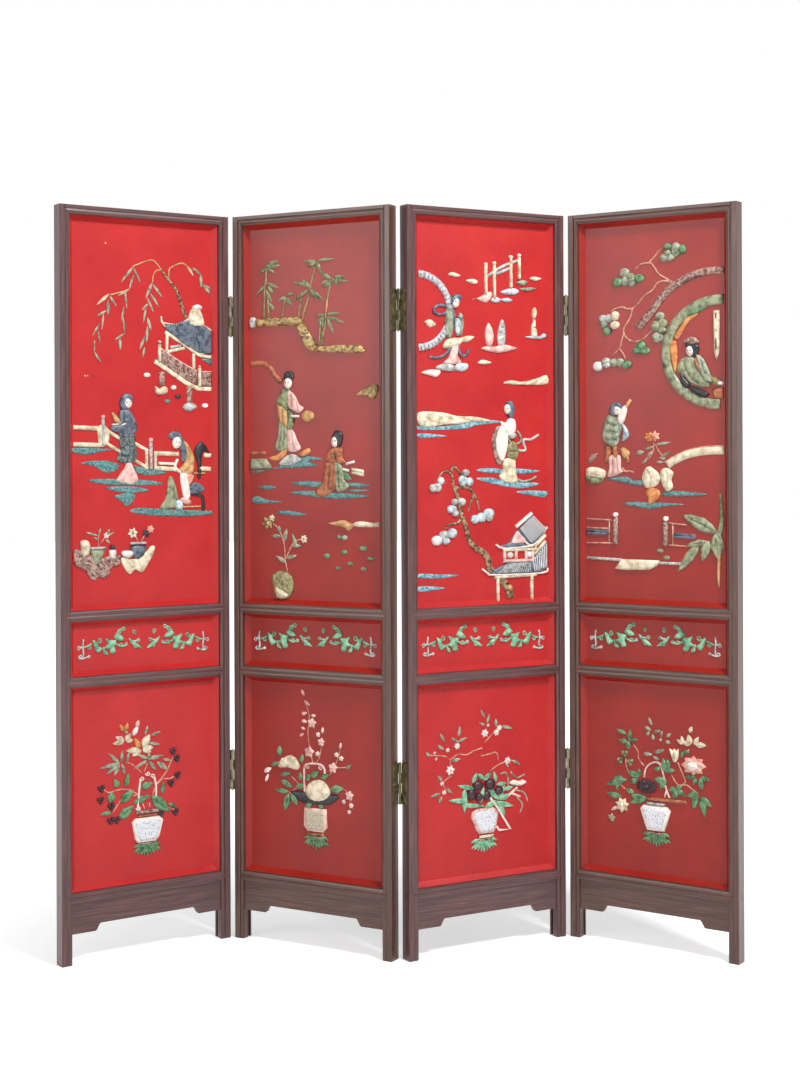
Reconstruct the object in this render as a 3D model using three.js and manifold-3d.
// A four-leaf folding floor screen: mortised hardwood frames, three lacquered boards in each leaf,
// a shaped apron under each bottom rail, and two butt hinges at each fold.
// Millimetres, +Z up. The front faces -Y, and leaf 1 is at the left seen from the front.
import * as THREE from "three";
import { mergeVertices } from "three/addons/utils/BufferGeometryUtils.js";
import Module from "manifold-3d";

const wasm = await Module();
wasm.setup();

// Driving dimensions of a leaf
const leafHeight = 1830;
const leafWidth = 457;
const leafThickness = 34;
const clearance = 0.3;

// Frame members
const stileWidth = 27;
const topRailHeight = 22;
const railHeight = 25;
const upperMidRailTop = 850;
const lowerMidRailTop = 691;
const bottomRailTop = 172;

// The moulding that runs round every opening, measured from the opening's edge
const mouldingWidth = 12.5;
const quirkWidth = 1.5;
const quirkDepth = 2.6;
const beadDrop = 1.6;
const beadSegments = 5;
const veinWidth = 1.4;
const arris = 1;

// Joinery
const shoulderDepth = 8; // depth of the pointed mitre that laps over a stile
const mitreGap = clearance * 1.5;
const tenonFront = 10;
const tenonThickness = 8;
const tenonLength = 20;
const tenonShoulder = 4;
const grooveDepth = 6;

// Lacquered boards with a bevelled rim
const boardFront = 21;
const boardThickness = 7;
const rimFront = 8;
const rimLip = 1;
const rimRun = 12.5;

// Apron
const apronFront = 5;
const apronThickness = 10;
const apronTongue = 5;
const apronTongueThickness = 5;
const apronEndZ = 73;
const apronMiddleZ = 91;
const apronEndLength = 61;
const apronStepLength = 15;
const apronStepPoints = 7;

// Hinges
const hingeGap = 8; // between the side faces of two leaves when they lie in one line
const pinStandOff = 3; // pin axis to the face that the fold closes
const hingeHeight = 100;
const hingeEndDistance = [426, 1577]; // heights of the hinge centres above the floor
const knuckleCount = 4;
const knuckleRadius = 3.6;
const boreRadius = 1.9;
const pinRadius = 1.7;
const pinHeadRadius = 2.9;
const pinHeadHeight = 2;
const plateThickness = 1.5;
const plateWidth = 26;
const roundSides = 12;

// How the screen stands: each leaf's turn from the line of the screen, in degrees
const outerTurn = 34;
const innerTurn = 29;
const leafTurns = [outerTurn, -innerTurn, innerTurn, -outerTurn];

// Materials by finish
const finishes = {
  wood: { color: 0x5a3029, roughness: 0.45, metalness: 0 },
  lacquer: { color: 0xb32a26, roughness: 0.35, metalness: 0 },
  brass: { color: 0x7d7656, roughness: 0.45, metalness: 0.9 },
};

// Solids: closed three.js geometry into a manifold, and back
function solid(geometry) {
  const bare = geometry.clone();
  bare.deleteAttribute("normal");
  bare.deleteAttribute("uv");
  const merged = mergeVertices(bare, 1e-4);
  const mesh = new wasm.Mesh({
    numProp: 3,
    vertProperties: new Float32Array(merged.attributes.position.array),
    triVerts: new Uint32Array(merged.index.array),
  });
  return new wasm.Manifold(mesh);
}

function meshOf(manifold, name, finish) {
  const data = manifold.getMesh();
  const geometry = new THREE.BufferGeometry();
  geometry.setAttribute("position", new THREE.BufferAttribute(new Float32Array(data.vertProperties), 3));
  geometry.setIndex(new THREE.BufferAttribute(new Uint32Array(data.triVerts), 1));
  geometry.computeVertexNormals();
  const mesh = new THREE.Mesh(geometry, new THREE.MeshStandardMaterial(finishes[finish]));
  mesh.name = name;
  return mesh;
}

function box(x0, x1, y0, y1, z0, z1) {
  const geometry = new THREE.BoxGeometry(x1 - x0, y1 - y0, z1 - z0);
  geometry.translate((x0 + x1) / 2, (y0 + y1) / 2, (z0 + z1) / 2);
  return solid(geometry);
}

function extruded(points, length) {
  const shape = new THREE.Shape(points.map(([a, b]) => new THREE.Vector2(a, b)));
  return new THREE.ExtrudeGeometry(shape, { depth: length, bevelEnabled: false });
}

// A section drawn in (x, y), standing from z0 to z1
function standing(points, z0, z1) {
  return solid(extruded(points, z1 - z0).translate(0, 0, z0));
}

// A section drawn in (y, z), lying along x from x0 to x1
function lying(points, x0, x1) {
  const geometry = extruded(points, x1 - x0);
  geometry.applyMatrix4(new THREE.Matrix4().set(0, 0, 1, x0, 1, 0, 0, 0, 0, 1, 0, 0, 0, 0, 0, 1));
  return solid(geometry);
}

// An outline drawn in (x, z), from depth y0 to depth y1
function facing(points, y0, y1) {
  const geometry = extruded(points, y1 - y0);
  geometry.applyMatrix4(new THREE.Matrix4().set(1, 0, 0, 0, 0, 0, -1, y1, 0, 1, 0, 0, 0, 0, 0, 1));
  return solid(geometry);
}

// The moulded edge of a member as [distance from the opening, depth], from the opening inwards
function mouldedEdge() {
  const beadWidth = mouldingWidth - quirkWidth;
  const points = [
    [0, quirkDepth],
    [quirkWidth, quirkDepth],
  ];
  for (let i = 0; i <= beadSegments; i += 1) {
    const share = i / beadSegments;
    points.push([quirkWidth + beadWidth * share, beadDrop * (1 - Math.sin(Math.PI * share))]);
  }
  return points;
}

// The groove that takes a board's edge, cut into the face at distance 0 and going inwards
function boardGroove() {
  return [
    [0, boardFront + boardThickness + clearance],
    [grooveDepth, boardFront + boardThickness + clearance],
    [grooveDepth, boardFront - clearance],
    [0, boardFront - clearance],
  ];
}

function stileSection() {
  const flatFace = [
    [stileWidth - mouldingWidth - veinWidth, 0],
    [arris, 0],
    [0, arris],
    [0, leafThickness],
    [stileWidth, leafThickness],
  ];
  const groove = boardGroove().map(([into, depth]) => [stileWidth - into, depth]);
  const moulding = mouldedEdge().map(([into, depth]) => [stileWidth - into, depth]);
  return [...flatFace, ...groove, ...moulding];
}

// A rail's section in (y, z); moulded and grooved towards the opening below it, above it, or both
function railSection(z0, z1, openAbove, openBelow) {
  const upper = openAbove ? mouldedEdge().map(([into, depth]) => [depth, z1 - into]) : [[arris, z1], [0, z1 - arris]];
  const lower = openBelow ? mouldedEdge().map(([into, depth]) => [depth, z0 + into]) : [[arris, z0], [0, z0 + arris]];
  const upperGroove = openAbove ? boardGroove().map(([into, depth]) => [depth, z1 - into]) : [];
  const lowerGroove = openBelow ? boardGroove().map(([into, depth]) => [depth, z0 + into]) : [];
  if (openAbove !== openBelow) {
    const vein = openAbove ? z1 - mouldingWidth - veinWidth : z0 + mouldingWidth + veinWidth;
    (openAbove ? upper : lower).push([0, vein]);
  }
  const meeting = openAbove && openBelow && z1 - z0 === 2 * mouldingWidth ? 1 : 0;
  return [
    [leafThickness, z0],
    [leafThickness, z1],
    ...upperGroove,
    ...upper,
    ...lower.reverse().slice(meeting),
    ...lowerGroove.reverse(),
  ];
}

// The rails of a leaf, from the top down
const rails = [
  { name: "top_rail", z0: leafHeight - topRailHeight, z1: leafHeight, above: false, below: true, through: false },
  { name: "upper_mid_rail", z0: upperMidRailTop - railHeight, z1: upperMidRailTop, above: true, below: true },
  { name: "lower_mid_rail", z0: lowerMidRailTop - railHeight, z1: lowerMidRailTop, above: true, below: true },
  { name: "bottom_rail", z0: bottomRailTop - railHeight, z1: bottomRailTop, above: true, below: false, through: true },
];

// The front outline of a rail's mitred shoulders; inset draws the ends back by that much
function shoulderOutline(rail, inset) {
  const left = stileWidth + inset;
  const right = leafWidth - left;
  const middle = (rail.z0 + rail.z1) / 2;
  const reach = (rail.z1 - rail.z0) / 2;
  if (rail.name === "top_rail") {
    const above = rail.z1 + 1;
    return [
      [left, rail.z0],
      [right, rail.z0],
      [right + mouldingWidth, rail.z0 + mouldingWidth],
      [right + mouldingWidth, above],
      [left - mouldingWidth, above],
      [left - mouldingWidth, rail.z0 + mouldingWidth],
    ];
  }
  return [
    [left, rail.z0],
    [right, rail.z0],
    [right + reach, middle],
    [right, rail.z1],
    [left, rail.z1],
    [left - reach, middle],
  ];
}

// A rail's two tenons, or with grow the mortises that take them
function tenons(rail, grow) {
  const length = rail.through ? stileWidth - clearance + (grow ? 1 : 0) : tenonLength + grow;
  const y0 = tenonFront - grow;
  const y1 = tenonFront + tenonThickness + grow;
  const z0 = rail.z0 + tenonShoulder - grow;
  const z1 = rail.z1 - tenonShoulder + grow;
  const lap = 1;
  const left = box(stileWidth - length, stileWidth + lap, y0, y1, z0, z1);
  const right = box(leafWidth - stileWidth - lap, leafWidth - stileWidth + length, y0, y1, z0, z1);
  return { left, right };
}

function railSolid(rail) {
  const bar = lying(railSection(rail.z0, rail.z1, rail.above, rail.below), 0, leafWidth);
  const body = box(stileWidth + clearance, leafWidth - stileWidth - clearance, -1, leafThickness + 1, rail.z0 - 1, rail.z1 + 1);
  const shoulders = facing(shoulderOutline(rail, mitreGap), -1, shoulderDepth);
  const { left, right } = tenons(rail, 0);
  const made = bar.intersect(body.add(shoulders)).add(left).add(right);
  if (rail.name !== "bottom_rail") return made;
  return made.subtract(apronTongueSlot(rail));
}

function apronTongueSlot(rail) {
  const { front, back } = apronTongueFaces(clearance);
  return box(stileWidth - 1, leafWidth - stileWidth + 1, front, back, rail.z0 - 1, rail.z0 + apronTongue + clearance);
}

function apronTongueFaces(grow) {
  const front = apronFront + (apronThickness - apronTongueThickness) / 2 - grow;
  return { front, back: front + apronTongueThickness + 2 * grow };
}

// A left stile, with its mortises; the right one is its mirror image
function stileSolid(side) {
  let made = standing(stileSection(), 0, leafHeight);
  for (const rail of rails) {
    made = made.subtract(facing(shoulderOutline(rail, 0), -1, shoulderDepth + clearance));
    made = made.subtract(tenons(rail, clearance).left);
  }
  const { front, back } = apronTongueFaces(clearance);
  const slotTop = bottomRailTop - railHeight;
  made = made.subtract(
    box(stileWidth - apronTongue - clearance, stileWidth + 1, front, back, apronEndZ - clearance, slotTop + clearance),
  );
  return side === "left" ? made : made.mirror([1, 0, 0]).translate(leafWidth, 0, 0);
}

// The three openings of a leaf, each between two rails
const openings = [
  { name: "upper_panel", z0: rails[1].z1, z1: rails[0].z0 },
  { name: "middle_panel", z0: rails[2].z1, z1: rails[1].z0 },
  { name: "lower_panel", z0: rails[3].z1, z1: rails[2].z0 },
];

// A four-sided frustum whose front rectangle is at depth y0 and back rectangle at depth y1
function frustum(front, back, y0, y1) {
  const corners = [];
  for (const [rect, y] of [[front, y0], [back, y1]]) {
    corners.push(rect.x0, y, rect.z0, rect.x1, y, rect.z0, rect.x1, y, rect.z1, rect.x0, y, rect.z1);
  }
  const geometry = new THREE.BufferGeometry();
  geometry.setAttribute("position", new THREE.Float32BufferAttribute(corners, 3));
  const quads = [[0, 1, 2, 3], [7, 6, 5, 4], [0, 4, 5, 1], [1, 5, 6, 2], [2, 6, 7, 3], [3, 7, 4, 0]];
  geometry.setIndex(quads.flatMap(([a, b, c, d]) => [a, b, c, a, c, d]));
  return solid(geometry);
}

// A board with its bevelled rim; its edge lies in the grooves of the frame
function panelSolid(opening) {
  const inset = (by) => ({
    x0: stileWidth + by,
    x1: leafWidth - stileWidth - by,
    z0: opening.z0 + by,
    z1: opening.z1 - by,
  });
  const edge = inset(clearance - grooveDepth);
  const board = box(edge.x0, edge.x1, boardFront, boardFront + boardThickness, edge.z0, edge.z1);
  const outer = inset(clearance);
  const rim = box(outer.x0, outer.x1, rimFront, boardFront + 1, outer.z0, outer.z1);
  // The hollow's faces keep the bevel's slope a little past its front edge
  const slope = (rimRun - rimLip) / (boardFront - rimFront);
  const hollow = frustum(inset(clearance + rimLip - slope), inset(clearance + rimRun), rimFront - 1, boardFront);
  return board.add(rim.subtract(hollow)).subtract(frustum(inset(rimRun + 1), inset(rimRun + 1), rimFront, boardFront));
}

// The apron: straight ends, an ogee step, and a raised middle; tongues at its top and ends
function apronSolid() {
  const top = bottomRailTop - railHeight - clearance;
  const left = stileWidth + clearance;
  const lowerEdge = (margin) => {
    const points = [[left - margin, apronEndZ], [left + apronEndLength, apronEndZ]];
    for (let i = 1; i <= apronStepPoints; i += 1) {
      const share = i / apronStepPoints;
      const rise = (1 - Math.cos(Math.PI * share)) / 2;
      points.push([left + apronEndLength + apronStepLength * share, apronEndZ + (apronMiddleZ - apronEndZ) * rise]);
    }
    return points;
  };
  const outline = (margin, topZ) => {
    const half = lowerEdge(margin);
    const mirrored = half.map(([x, z]) => [leafWidth - x, z]).reverse();
    return [...half, ...mirrored, [leafWidth - left + margin, topZ], [left - margin, topZ]];
  };
  const { front, back } = apronTongueFaces(0);
  const board = facing(outline(0, top), apronFront, apronFront + apronThickness);
  const tongues = facing(outline(apronTongue, top + apronTongue), front, back);
  const underRail = box(left - apronTongue - 1, stileWidth, 0, leafThickness, top, leafHeight);
  const corner = underRail.add(underRail.mirror([1, 0, 0]).translate(leafWidth, 0, 0));
  return board.add(tongues.subtract(corner));
}

// Hinge knuckles: heights of one knuckle, counted from the bottom
function knuckleSpan(index) {
  const pitch = hingeHeight / knuckleCount;
  return [index * pitch - hingeHeight / 2 + clearance / 2, (index + 1) * pitch - hingeHeight / 2 - clearance / 2];
}

function round(radius, z0, z1) {
  const geometry = new THREE.CylinderGeometry(radius, radius, z1 - z0, roundSides);
  geometry.rotateX(Math.PI / 2);
  geometry.translate(0, 0, (z0 + z1) / 2);
  return solid(geometry);
}

// A hinge plate round the pin's axis at x = 0, y = 0; the stile's side face is at x = -hingeGap / 2
// and the face that the fold closes is at y = pinStandOff
function plateSolid(firstKnuckle) {
  const x0 = clearance - hingeGap / 2;
  const x1 = x0 + plateThickness;
  const plateStart = knuckleRadius + clearance * 2;
  const half = hingeHeight / 2;
  let made = box(x0, x1, plateStart, plateStart + plateWidth, -half, half);
  for (let index = firstKnuckle; index < knuckleCount; index += 2) {
    const [z0, z1] = knuckleSpan(index);
    made = made.add(round(knuckleRadius, z0, z1)).add(box(x0, x1, 0, plateStart + 1, z0, z1));
  }
  return made.subtract(round(boreRadius, -half - 1, half + 1));
}

function pinSolid() {
  const end = hingeHeight / 2 + clearance;
  const head = end + pinHeadHeight;
  const profile = [
    [0, -head],
    [pinHeadRadius * 0.7, -head],
    [pinHeadRadius, -head + pinHeadHeight / 2],
    [pinHeadRadius, -end],
    [pinRadius, -end],
    [pinRadius, end],
    [pinHeadRadius, end],
    [pinHeadRadius, head - pinHeadHeight / 2],
    [pinHeadRadius * 0.7, head],
    [0, head],
  ];
  const geometry = new THREE.LatheGeometry(profile.map(([r, z]) => new THREE.Vector2(r, z)), roundSides);
  geometry.rotateX(Math.PI / 2);
  return solid(geometry);
}

// The corner of each leaf's front and left side in plan, chained from leaf 1 through the pins
function leafPlaces() {
  const places = [];
  let corner = new THREE.Vector2(0, 0);
  leafTurns.forEach((turn, index) => {
    const angle = THREE.MathUtils.degToRad(turn);
    const along = new THREE.Vector2(Math.cos(angle), Math.sin(angle));
    const back = new THREE.Vector2(-Math.sin(angle), Math.cos(angle));
    if (index > 0) {
      const before = places[index - 1];
      const depth = pinDepth(index);
      const pin = before.corner.clone();
      pin.addScaledVector(before.along, leafWidth + hingeGap / 2).addScaledVector(before.back, depth);
      corner = pin.clone().addScaledVector(along, hingeGap / 2).addScaledVector(back, -depth);
      places[index - 1].pin = pin;
    }
    places.push({ angle, along, back, corner });
  });
  return places;
}

// Depth of the pin's axis at a joint: before the front face at joints 1 and 3, behind the back at joint 2
function pinDepth(joint) {
  return joint % 2 === 1 ? -pinStandOff : leafThickness + pinStandOff;
}

// One half of a hinge in its leaf's own frame
function placedOnLeaf(manifold, joint, side, z) {
  let made = manifold;
  if (side === "left_leaf" && joint % 2 === 0) made = made.mirror([0, 1, 0]);
  if (side === "right_leaf") made = made.mirror([1, 0, 0]);
  if (side === "right_leaf" && joint % 2 === 0) made = made.mirror([0, 1, 0]);
  const x = side === "left_leaf" ? leafWidth + hingeGap / 2 : -hingeGap / 2;
  return made.translate(x, pinDepth(joint), z);
}

// Assembly
const screen = new THREE.Group();
const places = leafPlaces();
const leaves = places.map((place, index) => {
  const leaf = new THREE.Group();
  leaf.position.set(place.corner.x, place.corner.y, 0);
  leaf.rotation.z = place.angle;
  const tag = `leaf_${index + 1}`;
  leaf.add(meshOf(stileSolid("left"), `${tag}_left_stile`, "wood"));
  leaf.add(meshOf(stileSolid("right"), `${tag}_right_stile`, "wood"));
  for (const rail of rails) leaf.add(meshOf(railSolid(rail), `${tag}_${rail.name}`, "wood"));
  leaf.add(meshOf(apronSolid(), `${tag}_apron`, "wood"));
  for (const opening of openings) leaf.add(meshOf(panelSolid(opening), `${tag}_${opening.name}`, "lacquer"));
  screen.add(leaf);
  return leaf;
});

for (let joint = 1; joint < leafTurns.length; joint += 1) {
  hingeEndDistance.forEach((z, level) => {
    const tag = `hinge_${joint}${joint + 1}_${level === 0 ? "lower" : "upper"}`;
    const leftPlate = placedOnLeaf(plateSolid(1), joint, "left_leaf", z);
    const rightPlate = placedOnLeaf(plateSolid(0), joint, "right_leaf", z);
    leaves[joint - 1].add(meshOf(leftPlate, `${tag}_left_plate`, "brass"));
    leaves[joint].add(meshOf(rightPlate, `${tag}_right_plate`, "brass"));
    leaves[joint - 1].add(meshOf(placedOnLeaf(pinSolid(), joint, "left_leaf", z), `${tag}_pin`, "brass"));
  });
}

// The origin is on the floor, at the middle of the standing screen
const extent = new THREE.Box3().setFromObject(screen, true);
const middle = extent.getCenter(new THREE.Vector3());
screen.position.set(-middle.x, -middle.y, 0);

export default screen;
